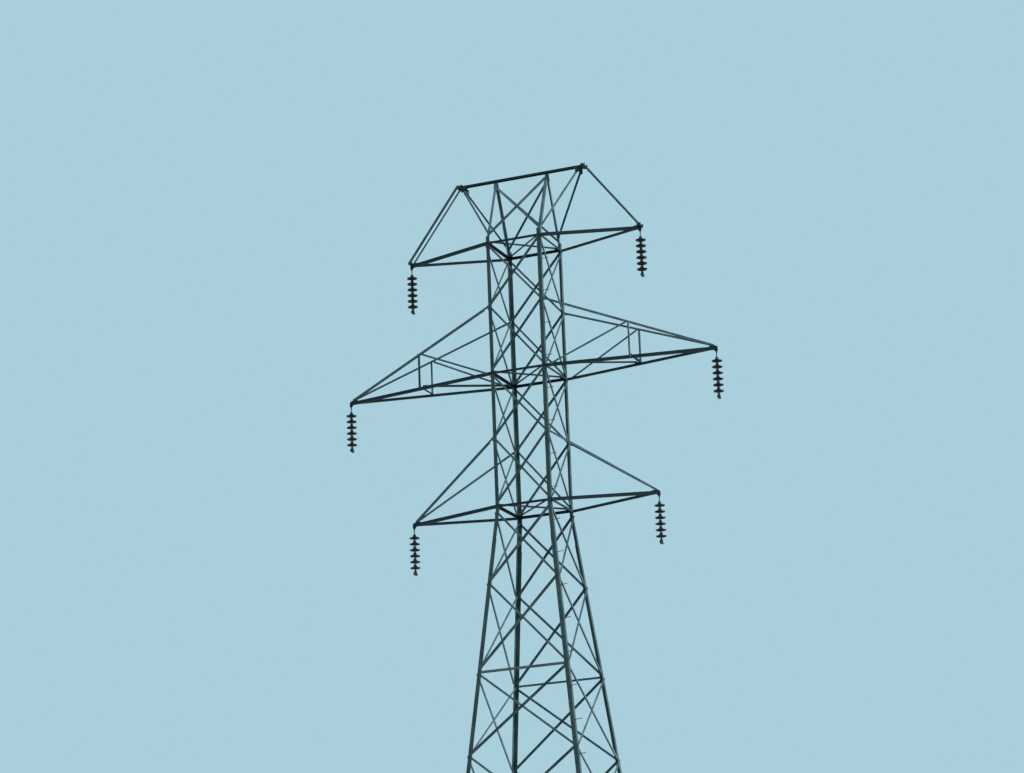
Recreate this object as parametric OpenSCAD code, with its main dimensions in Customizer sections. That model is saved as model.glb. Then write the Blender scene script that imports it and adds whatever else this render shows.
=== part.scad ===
// Lattice transmission tower with six arms, a shield wire bar and suspension insulator strings.
// Origin: centre of the base at ground level. X runs along the arms, Y along the line, Z up.

/* [Base and body] */
// Width across the leg corners at the ground
base_w = 5280; // [4800:10:5800]
// Width across the leg corners of the straight upper body
body_w = 1400; // [1300:10:1600]
// Drop from the lower arms to the bend in the legs
waist_drop = 100; // [80:5:160]

/* [Panel heights] */
// Height of the open leg panel above the ground
portal_h = 4000; // [3500:10:4500]
// Height of the first crossed panel above the open panel
panel1_h = 3000; // [2700:10:3300]
// Height of the second crossed panel
panel2_h = 2600; // [2300:10:2900]
// Height of the third crossed panel
panel3_h = 2300; // [2100:10:2600]
// Height of the fourth crossed panel
panel4_h = 1950; // [1800:10:2200]
// Height of the fifth crossed panel
panel5_h = 2100; // [1900:10:2300]
// Height of the sixth crossed panel, up to the lower arms
panel6_h = 1850; // [1750:10:2100]
// Spacing between two levels of arms
arm_step = 3250; // [3050:10:3500]
// Height at which an arm's upper members meet the legs, above the arm
tie_rise = 1650; // [1500:10:1750]
// Height of the shield wire bar above the upper arms
peak_h = 1820; // [1650:10:2000]

/* [Arms] */
// Reach of the upper arms, from the tower's axis to the hanging hole
upper_reach = 2980; // [2700:10:3200]
// Reach of the middle arms
middle_reach = 4700; // [4300:10:5000]
// Reach of the lower arms
lower_reach = 3110; // [2800:10:3400]
// Distance from the axis to the posts of the middle arms
post_x = 2690; // [2400:10:2900]
// Length of the shield wire bar
bar_l = 3300; // [3000:10:3500]
// Distance from the end of the bar to the shield wire clamp on it
shield_clamp_in = 70; // [60:5:200]
// Distance between the two hangers of an upper arm
hanger_gap = 180; // [160:5:220]
// Height of the lower ends of the bar's struts above the upper arms
strut_foot = 320; // [300:10:420]

/* [Angle sections] */
// Thickness of every leg angle
leg_t = 8; // [7:0.5:10]
// Flange width of the lower leg angles
low_leg_b = 100; // [95:1:120]
// Flange width of the upper leg angles
leg_b = 90; // [85:1:95]
// Flange width of the crossed braces of the upper body
brace_b = 45; // [40:1:50]
// Thickness of the crossed braces of the upper body
brace_t = 4; // [3:0.5:5]
// Flange width of the crossed braces of the lower body
low_brace_b = 50; // [45:1:56]
// Thickness of the crossed braces of the lower body
low_brace_t = 5; // [4:0.5:6]
// Flange width of the horizontal struts
strut_b = 50; // [45:1:60]
// Thickness of the horizontal struts
strut_t = 5; // [4:0.5:6]
// Flange width of the short members that steady the bottom of the legs
stay_b = 40; // [35:1:45]
// Thickness of the short members that steady the bottom of the legs
stay_t = 4; // [3:0.5:5]
// Flange width of the plan frames
frame_b = 60; // [50:1:65]
// Thickness of the plan frames
frame_t = 6; // [5:0.5:7]
// Flange width of the arms' lower chords
chord_b = 70; // [60:1:75]
// Thickness of the arms' lower chords
chord_t = 6; // [5:0.5:8]
// Flange width of the arms' upper members
tie_b = 50; // [45:1:60]
// Thickness of the arms' upper members
tie_t = 5; // [4:0.5:6]
// Flange width of the members inside the middle arms
web_b = 45; // [40:1:50]
// Thickness of the members inside the middle arms
web_t = 4; // [3:0.5:5]
// Flange width of the peak legs
peak_leg_b = 65; // [60:1:75]
// Thickness of the peak legs
peak_leg_t = 6; // [5:0.5:7]
// Width of the shield wire bar's channel
bar_b = 100; // [90:1:120]
// Height of the shield wire bar's channel
bar_h = 50; // [45:1:60]
// Thickness of the shield wire bar's channel
bar_t = 6; // [5:0.5:8]

/* [Leg splices and feet] */
// Height of the lowest leg splice
splice1_z = 5500; // [5200:10:5900]
// Height of the middle leg splice
splice2_z = 10750; // [10500:10:11000]
// Drop from the bend to the splice between lower and upper legs
splice_drop = 700; // [600:10:800]
// Length of the angle inside a splice
splice_l = 420; // [300:10:500]
// Gap between the ends of two leg angles
butt_gap = 2; // [1:0.5:4]
// Thickness of the boot angle around the bottom of a leg
boot_t = 10; // [8:0.5:12]
// Height of the boot angle
boot_h = 330; // [280:10:400]
// Height of the end bolts of the lowest braces
brace_foot_z = 560; // [500:10:650]
// Height of the short members that steady the legs
stay_z = 1950; // [1800:10:2100]
// Height at which their diagonals meet the legs
stay_top_z = 3150; // [3000:10:3250]

/* [Plates] */
// Thickness of the plates at the arm tips
tip_t = 8; // [6:0.5:12]
// Length of the plates at the arm tips, inwards from the hanging hole
tip_l = 230; // [200:5:260]
// Radius of the hanging hole in an arm tip
tip_hole_r = 13; // [12:0.5:15]
// Drop from the lower chords' edge to the hanging hole
hole_drop = 30; // [28:1:40]
// Side of a square base plate
foot_b = 460; // [440:5:520]
// Thickness of a base plate
foot_t = 28; // [20:1:36]
// Radius of an anchor bolt hole
anchor_r = 15; // [12:0.5:18]
// Spacing of the anchor bolt holes, both ways
anchor_pitch = 340; // [320:5:350]

/* [Insulator strings] */
// Diameter of one porcelain disc
disc_d = 254; // [230:1:280]
// Spacing from disc to disc
disc_pitch = 146; // [140:1:170]
// Number of discs in a string
disc_n = 6; // [3:1:8]
// Length of the link above the first cap
link_l = 100; // [80:1:160]
// Radius of the disc pins
pin_r = 9; // [8:0.5:10]
// Radius of the shackle's pin
shackle_pin_r = 11; // [9:0.5:11.5]
// Radius of the conductor groove in a suspension clamp
conductor_r = 10; // [7:0.5:13]
// Length of a suspension clamp along the line
clamp_l = 190; // [170:5:240]
// Radius of the groove in a shield wire clamp
shield_wire_r = 6; // [4:0.5:8]
// Length of a shield wire clamp
shield_clamp_l = 90; // [70:1:110]

/* [Fits] */
// Gap left between two bolted faces by their zinc coats
coat = 0.1; // [0.05:0.05:0.3]
// Length of a brace beyond its end bolt
lap = 15; // [12:1:20]
// Clearance between members that meet on one leg face
clear = 4; // [3:0.5:6]
// Half distance between the end bolts of two panels' braces at one node
node_gap = 22; // [20:1:30]

/* [Hidden] */

steel = "#6b7570";
dark_steel = "#59615d";
porcelain = "#3a2e2b";

half_base = base_w / 2;
half_body = body_w / 2;
// Levels of the panel points, from the open panel up to the lower arms
level1 = portal_h;
level2 = level1 + panel1_h;
level3 = level2 + panel2_h;
level4 = level3 + panel3_h;
level5 = level4 + panel4_h;
level6 = level5 + panel5_h;
lower_z = level6 + panel6_h;
middle_z = lower_z + arm_step;
upper_z = middle_z + arm_step;
bar_z = upper_z + peak_h;
waist_z = lower_z - waist_drop;
splice3_z = waist_z - splice_drop;
batter = (half_base - half_body) / waist_z;
tilt = atan(batter);
// Bolt lines of the braces, from the leg's corner
low_gauge = leg_t + low_brace_b / 2 + lap + clear;
gauge = leg_t + brace_b / 2 + lap + clear;
// Distance from an arm's level, or from a strut, to the end bolts of the braces
arm_off = chord_b / 2 + clear + lap + brace_b / 3;
strut_off = strut_b / 2 + clear + lap + low_brace_b / 3;
// Inner faces of the upper legs
inner = half_body - leg_t - coat;
// Peak: foot and top of its legs and their lean
peak_foot_z = upper_z + frame_b / 2 + 40;
leg_top_z = peak_foot_z + 105;
peak_top_z = bar_z - bar_h;
ridge_y = 15;
peak_tilt = atan((inner - ridge_y) / (peak_top_z - peak_foot_z));
peak_len = (peak_top_z - peak_foot_z) / cos(peak_tilt);
// Arm tips: hanging hole below the arm's level, upper member above it
hole_z = -chord_b / 2 - hole_drop;
tip_rise = chord_b / 2 + tie_b / 2 + 6;
bend_x = half_body + 15;
root_x = half_body - leg_b;
face_y = -half_body - coat;

function unit(a) = a / norm(a);
function perp(a, d) = unit(a - d * (a * d));
// Half width across the leg corners at a height
function half_w(z) = half_base - batter * min(z, waist_z);
// Outline of an angle section whose flanges stand at an angle to each other
function angle_pts(b, t, theta) = [
    [0, 0], [b, 0], [b, t], [t * (1 + cos(theta)) / sin(theta), t],
    b * [cos(theta), sin(theta)] + t * [sin(theta), -cos(theta)], b * [cos(theta), sin(theta)]
];
function left(p, q) = [p.y - q.y, q.x - p.x] / norm(q - p);
// Plan outline of a bent strip on the path p, q, r, between two distances to the left of it
function bent(p, q, r, d1, d2) =
    let(n = left(p, q), m = left(q, r), k = (n + m) / (1 + n * m))
    [p + d1 * n, q + d1 * k, r + d1 * m, r + d2 * m, q + d2 * k, p + d2 * n];
// Plan outline of a straight strip
function strip(p, q, d1, d2) = let(n = left(p, q)) [p + d1 * n, q + d1 * n, q + d2 * n, p + d2 * n];
// Elevation outline of a sloping member of width b from p to q
function slope(p, q, b) = strip(p, q, -b / 2, b / 2);

// Puts children that run up Z from 0 on the line from p to q, with their X towards side
module along(p, q, side) {
    d = unit(q - p);
    x = perp(side, d);
    y = cross(d, x);
    multmatrix([[x.x, y.x, d.x, p.x], [x.y, y.y, d.y, p.y], [x.z, y.z, d.z, p.z], [0, 0, 0, 1]]) children();
}

// Steel that has the plan outline seen from above and the elevation outline seen from the front
module cut_plate(plan, elevation) {
    intersection() {
        linear_extrude(3 * peak_h, center = true) polygon(plan);
        rotate([90, 0, 0]) linear_extrude(3 * body_w, center = true) polygon(elevation);
    }
}

module both_sides() {
    children();
    mirror([0, 1, 0]) children();
}

// A brace on one face: from [x, z] to [x, z], outer on the leg's outer face, else on its inner face
module face_brace(from, to, b, t, outer, gap = coat, more = lap) {
    run = to - from;
    s = outer ? -1 : 1;
    translate([from.x, outer ? -gap : leg_t + gap, from.y])
        rotate([0, -atan2(run.y, run.x), 0])
        translate([-more, 0, 0]) {
            translate([0, min(0, s * t), -b / 2]) cube([norm(run) + 2 * more, t, b]);
            translate([0, min(0, s * b), outer ? b / 2 - t : -b / 2]) cube([norm(run) + 2 * more, b, t]);
        }
}

// Two crossed braces between a lower and an upper pair of bolts, packed apart by a ring
module crossed_pair(low, high, b, t, fused, gap = coat) {
    face_brace([-low.x, low.y], high, b, t, true, gap);
    face_brace([low.x, low.y], [-high.x, high.y], b, t, false);
    cross_z = low.y + (high.y - low.y) * low.x / (low.x + high.x);
    translate([0, -gap - t / 2, cross_z]) rotate([-90, 0, 0])
        cylinder(r = b * 0.4, h = gap + t / 2 + leg_t + (fused ? coat + t / 2 : 0), $fn = 8);
}

// Frame of a lower face: X across, Z up the slope, Y inwards, from the height z
module on_slope(z) {
    translate([0, -half_w(z), z]) rotate([-tilt, 0, 0]) children();
}

module lower_panel(z0, z1, off0, off1, fused) {
    rise = (z1 - z0) / cos(tilt);
    on_slope(z0)
        crossed_pair([half_w(z0 + off0) - low_gauge, off0], [half_w(z1 - off1) - low_gauge, rise - off1],
            low_brace_b, low_brace_t, fused);
}

// Horizontal strut on the inner faces of two legs, at height z
module face_strut(z) {
    half = half_w(z) - leg_t - strut_b - clear;
    on_slope(z) face_brace([-half, 0], [half, 0], strut_b, strut_t, false, coat, 0);
}

// Members of the open panel: two long braces to the strut's middle and the short ones that steady the legs
module open_panel() {
    top = level1 / cos(tilt);
    apex = [-130, top - 95];
    foot = [-half_w(brace_foot_z) + low_gauge, brace_foot_z];
    // point on the long brace at a height, and bolts on the leg
    function on_brace(z) = [foot.x + (apex.x - foot.x) * (z - foot.y) / (apex.y - foot.y), z];
    function on_leg(z) = [-half_w(z) + leg_t + 1.25 * stay_b + clear + lap, z];
    on_slope(0) {
        for (s = [0, 1]) mirror([s, 0, 0]) {
            face_brace(foot, apex, low_brace_b, low_brace_t, true);
            face_brace(on_leg(stay_z), on_brace(stay_z), stay_b, stay_t, false);
            face_brace(on_leg(stay_top_z), on_brace(stay_z + 150), stay_b, stay_t, false);
            for (z = [stay_z, stay_z + 150])
                translate([on_brace(z).x, -coat - low_brace_t / 2, z]) rotate([-90, 0, 0])
                    cylinder(r = stay_b * 0.4, h = coat + low_brace_t / 2 + leg_t, $fn = 8);
        }
        translate([0, leg_t + coat / 2, top]) rotate([90, 0, 0]) linear_extrude(leg_t + coat / 2)
            polygon([[-210, -150], [210, -150], [210, -60], [130, 18], [-130, 18], [-210, -60]]);
        translate([0, leg_t + coat + strut_t / 2, top]) rotate([90, 0, 0])
            linear_extrude(leg_t / 2 + strut_t) square([200, strut_b * 0.6], center = true);
    }
}

module lower_bracing(struts) {
    color(steel) {
        lower_panel(level6, waist_z, node_gap, strut_off, true);
        lower_panel(level5, level6, strut_off, node_gap, true);
        lower_panel(level4, level5, node_gap, strut_off, true);
        lower_panel(level3, level4, strut_off, node_gap, false);
        lower_panel(level2, level3, node_gap, strut_off, false);
        lower_panel(level1, level2, strut_off, node_gap, false);
        face_strut(level1);
        if (struts) {
            face_strut(level5);
            face_strut(level3);
        }
        open_panel();
    }
}

module upper_panel(z0, z1, off0, off1, gap) {
    x = half_body - gauge;
    translate([0, -half_body, z0])
        crossed_pair([x, off0], [x, z1 - z0 - off1], brace_b, brace_t, true, gap);
}

// The outer braces lie on the leg, or on the arms' lap plates where the face carries arms
module upper_bracing(carries_arms) {
    gap = carries_arms ? 2 * coat + max(chord_t, tie_t) : coat;
    color(steel) for (z = [lower_z, middle_z]) {
        upper_panel(z, z + tie_rise, arm_off, node_gap, gap);
        upper_panel(z + tie_rise, z + arm_step, node_gap, arm_off, gap);
    }
}

// Part of a leg angle between two heights, on the corner line pushed out by some distance
module leg_part(b, t, out, z0, z1) {
    p = [-half_base - out, -half_base - out, 0];
    q = [-half_body - out, -half_body - out, waist_z];
    d = unit(q - p);
    theta = acos(perp([1, 0, 0], d) * perp([0, 1, 0], d));
    at = p + (q - p) * z0 / waist_z;
    side = 4 * b + (z1 - z0) * batter;
    intersection() {
        translate(at) along(-200 * d, 200 * d, [1, 0, 0])
            linear_extrude((z1 - z0) / d.z + 400) polygon(angle_pts(b, t, theta));
        translate([at.x - b, at.y - b, z0]) cube([side, side, z1 - z0]);
    }
}

// Angle inside a splice of the leg
module splice_angle(b, z) {
    leg_part(b - leg_t - clear, leg_t, -(leg_t + coat) / cos(tilt), z - splice_l / 2, z + splice_l / 2);
}

// Front left leg in four lengths, with its splice angles
module leg() {
    cuts = [foot_t + coat - butt_gap / 2, splice1_z, splice2_z, splice3_z];
    color(dark_steel) {
        for (i = [0:2]) leg_part(low_leg_b, leg_t, 0, cuts[i] + butt_gap / 2, cuts[i + 1] - butt_gap / 2);
        leg_part(leg_b, leg_t, 0, splice3_z + butt_gap / 2, waist_z);
        translate([-half_body, -half_body, waist_z - 1])
            linear_extrude(leg_top_z - waist_z + 1) polygon(angle_pts(leg_b, leg_t, 90));
        for (z = [splice1_z, splice2_z]) splice_angle(low_leg_b, z);
        splice_angle(leg_b, splice3_z);
    }
}

// Base plate with its anchor holes, a boot angle around the leg and two stiffeners
module foot() {
    out = (boot_t + coat) / cos(tilt);
    at = -half_base + low_leg_b / 3;
    reach = foot_b / 2 - low_leg_b;
    rise = boot_h - 80;
    color(dark_steel) {
        difference() {
            translate([at - foot_b / 2, at - foot_b / 2, 0]) cube([foot_b, foot_b, foot_t]);
            for (x = [-1, 1], y = [-1, 1])
                translate([at + x * anchor_pitch / 2, at + y * anchor_pitch / 2, -1])
                    cylinder(r = anchor_r, h = foot_t + 2, $fn = 32);
        }
        leg_part(low_leg_b + boot_t, boot_t, out, foot_t - 1, boot_h);
        for (a = [0, 1]) mirror([a, -a, 0])
            translate([-half_base + low_leg_b / 2, -half_base - boot_t / 2, foot_t - 1]) rotate([90, 0, -90])
            linear_extrude(boot_t, center = true)
            polygon([[0, 0], [reach, 0], [reach, 25], [-rise * batter, rise]]);
    }
}

// Square frame of angles on the legs' inner faces, with corner plates and two diagonals on top, at height z
module plan_frame(z) {
    size = 2 * inner;
    hole = inner - frame_b;
    cut = hole - 2.4 * brace_b;
    reach = (hole - 4) * sqrt(2);
    translate([0, 0, z]) {
        difference() {
            translate([-inner, -inner, -frame_b / 2]) cube([size, size, frame_b]);
            translate([frame_t - inner, frame_t - inner, -frame_b / 2 - 1])
                cube([size - 2 * frame_t, size - 2 * frame_t, frame_b - frame_t + 1]);
            linear_extrude(2 * frame_b, center = true) polygon([
                [hole, -cut], [hole, cut], [cut, hole], [-cut, hole],
                [-hole, cut], [-hole, -cut], [-cut, -hole], [cut, -hole]
            ]);
        }
        for (a = [45, -45]) rotate(a) translate([-reach, 0, frame_b / 2 - 1]) {
            translate([0, -brace_b / 2, 0]) cube([2 * reach, brace_b, brace_t + 1]);
            translate([0, brace_b / 2 - brace_t, 0]) cube([2 * reach, brace_t, brace_b + 1]);
        }
    }
}

module plan_bracing() {
    color(steel) for (z = [lower_z, middle_z, upper_z]) plan_frame(z);
}

// Front half of the peak: two legs that lean in to the ridge, and crossed braces between them
module peak_half() {
    x = inner - peak_leg_t - brace_b / 2 - lap - clear;
    thin = leg_t - peak_leg_t;
    color(steel) {
        for (s = [0, 1]) mirror([s, 0, 0]) difference() {
            along([-inner, -inner, peak_foot_z], [-inner, -ridge_y, peak_top_z], [1, 0, 0])
                linear_extrude(peak_len + 60) polygon(angle_pts(peak_leg_b, peak_leg_t, 90));
            translate([-inner - 1, -1, peak_foot_z]) cube([2 * peak_leg_b, 400, peak_h]);
            translate([-inner - 1, -300, peak_top_z - coat]) cube([2 * peak_leg_b, 400, peak_h]);
        }
        translate([0, -inner, peak_foot_z]) rotate([-peak_tilt, 0, 0]) translate([0, -thin, 0]) {
            crossed_pair([x, 165], [x, peak_len - 170], brace_b, brace_t, true, coat - thin);
        }
    }
}

// Strut from the peak's front left leg to the bar's end: in plan, and in elevation from its lower end
strut_z = upper_z + strut_foot;
strut_y = -inner + (strut_z - peak_foot_z) * tan(peak_tilt) + peak_leg_b / 2;
strut_x = -bar_l / 2 + 118;
strut_path = [[-inner - coat, strut_y - 55], [-inner - coat, strut_y + 12], [strut_x, -hanger_gap / 2]];
strut_run = strut_path[2] - strut_path[1];
strut_rise = [[-inner - 20, 0], [strut_x, peak_top_z - strut_z - 45]];

// Channel with its web on top and plates at the ridge. Each end has a plate with wings for the struts,
// cheeks for the hangers and a clamp
module shield_wire_bar() {
    end = bar_l / 2;
    wide = hanger_gap / 2 + 28;
    cheek = hanger_gap / 2 - tip_t;
    color(steel) {
        difference() {
            translate([-end, -bar_b / 2, peak_top_z]) cube([bar_l, bar_b, bar_h]);
            translate([-end - 1, -bar_b / 2 + bar_t, peak_top_z - 1])
                cube([bar_l + 2, bar_b - 2 * bar_t, bar_h - bar_t + 1]);
        }
        spread = (200 - 10) * tan(peak_tilt);
        low = ridge_y + spread;
        top = bar_b / 2 - bar_t - clear;
        for (s = [0, 1]) mirror([s, 0, 0]) {
            translate([inner + coat, 0, peak_top_z]) rotate([90, 0, 90]) linear_extrude(tip_t)
                polygon([[-low, -190], [low, -190], [low, -150], [top, -20], [top, bar_h - bar_t / 2],
                    [-top, bar_h - bar_t / 2], [-top, -20], [-low, -150]]);
            translate([end, 0, peak_top_z - tip_t]) linear_extrude(tip_t + 1)
                polygon([[-210, -40], [-150, -wide], [-75, -wide], [-50, -cheek - 4], [38, -cheek - 4],
                    [38, cheek + 4], [-50, cheek + 4], [-75, wide], [-150, wide], [-210, 40]]);
            both_sides() {
                translate([0, 0, peak_top_z - 140]) linear_extrude(138 - tip_t / 2)
                    polygon(strip(strut_path[1] + 0.9 * strut_run, strut_path[1] + 1.03 * strut_run,
                        brace_t + coat, brace_t + coat + 6));
                translate([end - 50, cheek, peak_top_z - 30]) cube([90, tip_t, bar_h + 45]);
            }
            translate([end - shield_clamp_in, 0, bar_z - 1]) shield_clamp();
        }
    }
}

// Small clamp for the shield wire, with its keeper
module shield_clamp() {
    h = 2 * shield_wire_r + 30;
    translate([0, shield_clamp_l / 2, 0]) rotate([90, 0, 0]) linear_extrude(shield_clamp_l)
        difference() {
            polygon([[-22, 0], [22, 0], [22, h - 14], [12, h], [-12, h], [-22, h - 14]]);
            translate([0, 20 + shield_wire_r]) circle(r = shield_wire_r, $fn = 32);
        }
}

// Struts from the peak's legs to the ends of the bar
module bar_struts() {
    far = strut_path[1] + 0.97 * strut_run;
    edge = slope(strut_rise[0], strut_rise[1], brace_b);
    rise = unit(strut_rise[1] - strut_rise[0]);
    color(steel) for (s = [0, 1]) mirror([s, 0, 0]) both_sides() translate([0, 0, strut_z]) {
        cut_plate(bent(strut_path[0], strut_path[1], far, 0, brace_t),
            concat([[-inner + 5, -50], [-inner - 20, -50]],
                [edge[3] + 30 * rise, edge[2], edge[1], edge[0] + 60 * rise],
                [[-inner - 20, 50], [-inner + 5, 50]]));
        cut_plate(strip(strut_path[1] + 90 * unit(strut_run), far, brace_t - brace_b, brace_t / 2),
            [edge[0] + 90 * rise, edge[1] - 3 * rise, edge[1] - 3 * rise - brace_t * [rise.y, -rise.x],
                edge[0] + 90 * rise - brace_t * [rise.y, -rise.x]]);
    }
}

// Arms are drawn to the right with their level at z = 0. Plan path of the front chord along its inner face
function arm_path(reach) = [[root_x, face_y], [bend_x, face_y], [reach - 12, 1 - tip_t / 2]];
function front_y(reach, x) = face_y + (1 - tip_t / 2 - face_y) * (x - bend_x) / (reach - 12 - bend_x);
// Centre line of the upper member in elevation
function tie_line(reach) = [[bend_x, tie_rise], [reach - 60, tip_rise]];

module tip_plate(reach) {
    difference() {
        translate([reach, tip_t / 2, 0]) rotate([90, 0, 0]) linear_extrude(tip_t)
            polygon([[-tip_l, -chord_b / 2], [-60, -chord_b / 2], [-30, hole_z - 28], [30, hole_z - 28],
                [40, -chord_b / 2], [30, 30], [-25, tip_rise], [-150, tip_rise], [-tip_l, chord_b / 2]]);
        translate([reach, -tip_t, hole_z]) rotate([-90, 0, 0])
            cylinder(r = tip_hole_r, h = 2 * tip_t, $fn = 32);
    }
}

// Lower chords with their lap plates on the legs and the tip plate
module arm_chords(reach) {
    p = arm_path(reach);
    both_sides() translate([0, 0, -chord_b / 2]) {
        linear_extrude(chord_b) polygon(bent(p[0], p[1], p[2], -chord_t, 0));
        intersection() {
            linear_extrude(chord_t) polygon(bent(p[0], p[1], p[2], -chord_t / 2, chord_b - chord_t));
            translate([half_body + clear, -half_body - chord_b, -1]) cube([reach, body_w, chord_t + 2]);
        }
    }
    tip_plate(reach);
}

// Upper members from the legs down to the tip plate
module arm_ties(reach) {
    p = arm_path(reach);
    line = tie_line(reach);
    along_line = unit(line[1] - line[0]);
    across = [-along_line.y, along_line.x];
    edge = slope(line[0], line[1], tie_b);
    both_sides() difference() {
        union() {
            cut_plate(bent(p[0], p[1], p[2], -tie_t, 0),
                [[root_x - 1, tie_rise - 45], [bend_x, tie_rise - 45], edge[0] + 90 * along_line, edge[1],
                    edge[2], edge[3] + 20 * along_line, [bend_x, tie_rise + 38],
                    [root_x - 1, tie_rise + 38]]);
            cut_plate(bent(p[0], p[1], p[2], -tie_t / 2, tie_b - tie_t),
                [edge[0] + (brace_b + 70) * along_line, edge[1] - 3 * along_line,
                    edge[1] - 3 * along_line + tie_t * across,
                    edge[0] + (brace_b + 70) * along_line + tie_t * across]);
        }
        translate([reach - tip_l - 300, -tip_t / 2 - coat, 0]) cube([tip_l + 600, 200, 400]);
    }
}

module upper_arm_chords() {
    color(steel) translate([0, 0, upper_z]) {
        arm_chords(upper_reach);
        // bracket that holds the hangers on both sides of the tip plate
        cheek = hanger_gap / 2 - tip_t;
        translate([upper_reach - 52, -cheek - 4, 22]) cube([100, 2 * cheek + 8, tip_t]);
        both_sides() translate([upper_reach - 55, cheek, 12]) cube([106, tip_t, 84]);
    }
}

module upper_arm_hangers() {
    high = [bar_l / 2, peak_h - bar_h / 2];
    low = [upper_reach, chord_b / 2 + 22];
    color(steel) both_sides() translate([0, -hanger_gap / 2, upper_z])
        face_brace(high, low, brace_b, brace_t, true);
}

// Middle arm: a strut between the posts and one plan diagonal, on plates at the top of the chords
module middle_arm_chords() {
    function on_chord(x, in = 0) = [x, front_y(middle_reach, x) + in];
    near = on_chord(half_body + 100, 32);
    far = on_chord(post_x - 62, 32);
    run = [far.x - near.x, -far.y - near.y];
    plate_z = chord_b / 2 - 8;
    color(steel) translate([0, 0, middle_z]) {
        arm_chords(middle_reach);
        translate([0, 0, plate_z]) linear_extrude(6) {
            polygon(strip(on_chord(near.x - 45), on_chord(near.x + 70), -chord_t / 2, 58));
            polygon(strip(on_chord(post_x - 30), on_chord(post_x + 30), -chord_t / 2, 40));
            mirror([0, 1, 0])
                polygon(strip(on_chord(post_x - 125), on_chord(post_x + 30), -chord_t / 2, 58));
        }
        translate([post_x - web_b / 2, far.y - 20, plate_z + 5]) {
            cube([web_b, -2 * far.y + 40, web_t + 1]);
            translate([web_b - web_t, 0, 0]) cube([web_t, -2 * far.y + 40, web_b]);
        }
        translate([near.x, near.y, plate_z + 5]) rotate(atan2(run.y, run.x)) translate([0, -web_b / 2, 0]) {
            cube([norm(run), web_b, web_t + 1]);
            translate([0, web_b - web_t, 0]) cube([norm(run), web_t, web_b]);
        }
    }
}

// Middle arm: upper members, and outside each a post and a diagonal down to the lower chord at the leg
module middle_arm_trusses() {
    p = arm_path(middle_reach);
    line = tie_line(middle_reach);
    fall = (line[0].y - line[1].y) / (line[1].x - line[0].x);
    head = [post_x, tie_rise - fall * (post_x - bend_x)];
    post_foot = [post_x, 0];
    heel = [half_body + 100, 6];
    out = -max(chord_t, tie_t) - coat;
    color(steel) translate([0, 0, middle_z]) {
        arm_ties(middle_reach);
        both_sides() {
            cut_plate(bent(p[0], p[1], p[2], out - web_t, out),
                slope(post_foot - [0, 18], head + [0, 15], web_b));
            cut_plate(bent(p[0], p[1], p[2], out - web_b, out - web_t / 2),
                slope(post_foot + [web_b / 2 - web_t / 2, -18], head + [web_b / 2 - web_t / 2, 15], web_t));
            cut_plate(bent(p[0], p[1], p[2], out - web_t, out), slope(heel, head - [62, 8], web_b));
            // pads that pack them out from the upper member
            for (x = [post_x, post_x - 55])
                cut_plate(bent(p[0], p[1], p[2], out - web_t / 2, -tie_t / 2),
                    [for (a = [22.5:45:337.5]) [x, head.y + fall * (post_x - x)] + 16 * [cos(a), sin(a)]]);
        }
    }
}

module lower_arm_chords() {
    color(steel) translate([0, 0, lower_z]) arm_chords(lower_reach);
}

module lower_arm_ties() {
    color(steel) translate([0, 0, lower_z]) arm_ties(lower_reach);
}

// Insulator strings hang from their hole at the origin
cap_top = -shackle_pin_r - 50 - link_l;
cap_h = 92;
socket_r = pin_r + 7;
rim = cap_top - cap_h;
last_rim = rim - (disc_n - 1) * disc_pitch;
clamp_z = last_rim - disc_pitch + 20;
clamp_axis = -conductor_r - 12;
cheek_y = tip_t / 2 + 5;
// Straps of the clamp's hanger: inner face from the axis, thickness and width
strap_x = 26;
strap_t = 8;
strap_w = 36;

// Porcelain with a rain shed on top and ribs underneath, around the bore for its pin
module porcelain_disc() {
    r = disc_d / 2;
    bore = pin_r + coat;
    rotate_extrude($fn = 64) polygon([
        [bore, 26], [46, 26], [r * 0.7, 17], [r - 6, 6], [r - 1, 1], [r, -4], [r - 3, -10], [r - 8, -9],
        [r - 13, -3], [r - 22, 1], [r - 25, -15], [r - 28, -18], [r - 32, -17], [r - 35, 3], [r - 47, 5],
        [r - 50, -17],
        [r - 53, -20], [r - 57, -19], [r - 60, 5], [r - 72, 6], [r - 75, -16], [r - 78, -19], [r - 82, -18],
        [r - 85, 5], [28, 4], [24, -14], [bore, -14]
    ]);
}

module string_discs() {
    color(porcelain) for (i = [0:disc_n - 1]) translate([0, 0, rim - i * disc_pitch]) porcelain_disc();
}

// Cap with the socket in its top that takes the ball of the pin above
module cap(blind) {
    ball = socket_r + coat;
    rotate_extrude($fn = 48) difference() {
        polygon([[0, 26 + coat], [50, 26 + coat], [50, 38], [41, 50], [36, 66], [30, 84], [26, cap_h],
            [0, cap_h]]);
        if (!blind) {
            translate([0, 58]) square([ball, 22]);
            translate([0, 79]) square([pin_r + 2, 20]);
        }
    }
}

// Pin of one disc, with the ball that hangs in the socket below
module disc_pin() {
    top = 26 + coat + 1;
    drop = -disc_pitch + 58 + coat;
    rotate_extrude($fn = 48)
        polygon([[0, top], [pin_r, top], [pin_r, drop + 16], [socket_r, drop + 9], [socket_r, drop + 3],
            [pin_r, drop], [0, drop]]);
}

module string_fittings() {
    color(dark_steel) {
        shackle();
        for (i = [0:disc_n - 1]) translate([0, 0, rim - i * disc_pitch]) {
            cap(i == 0);
            disc_pin();
        }
        translate([0, 0, clamp_z]) clamp_hanger();
        translate([0, 0, clamp_z]) suspension_clamp();
    }
}

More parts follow.
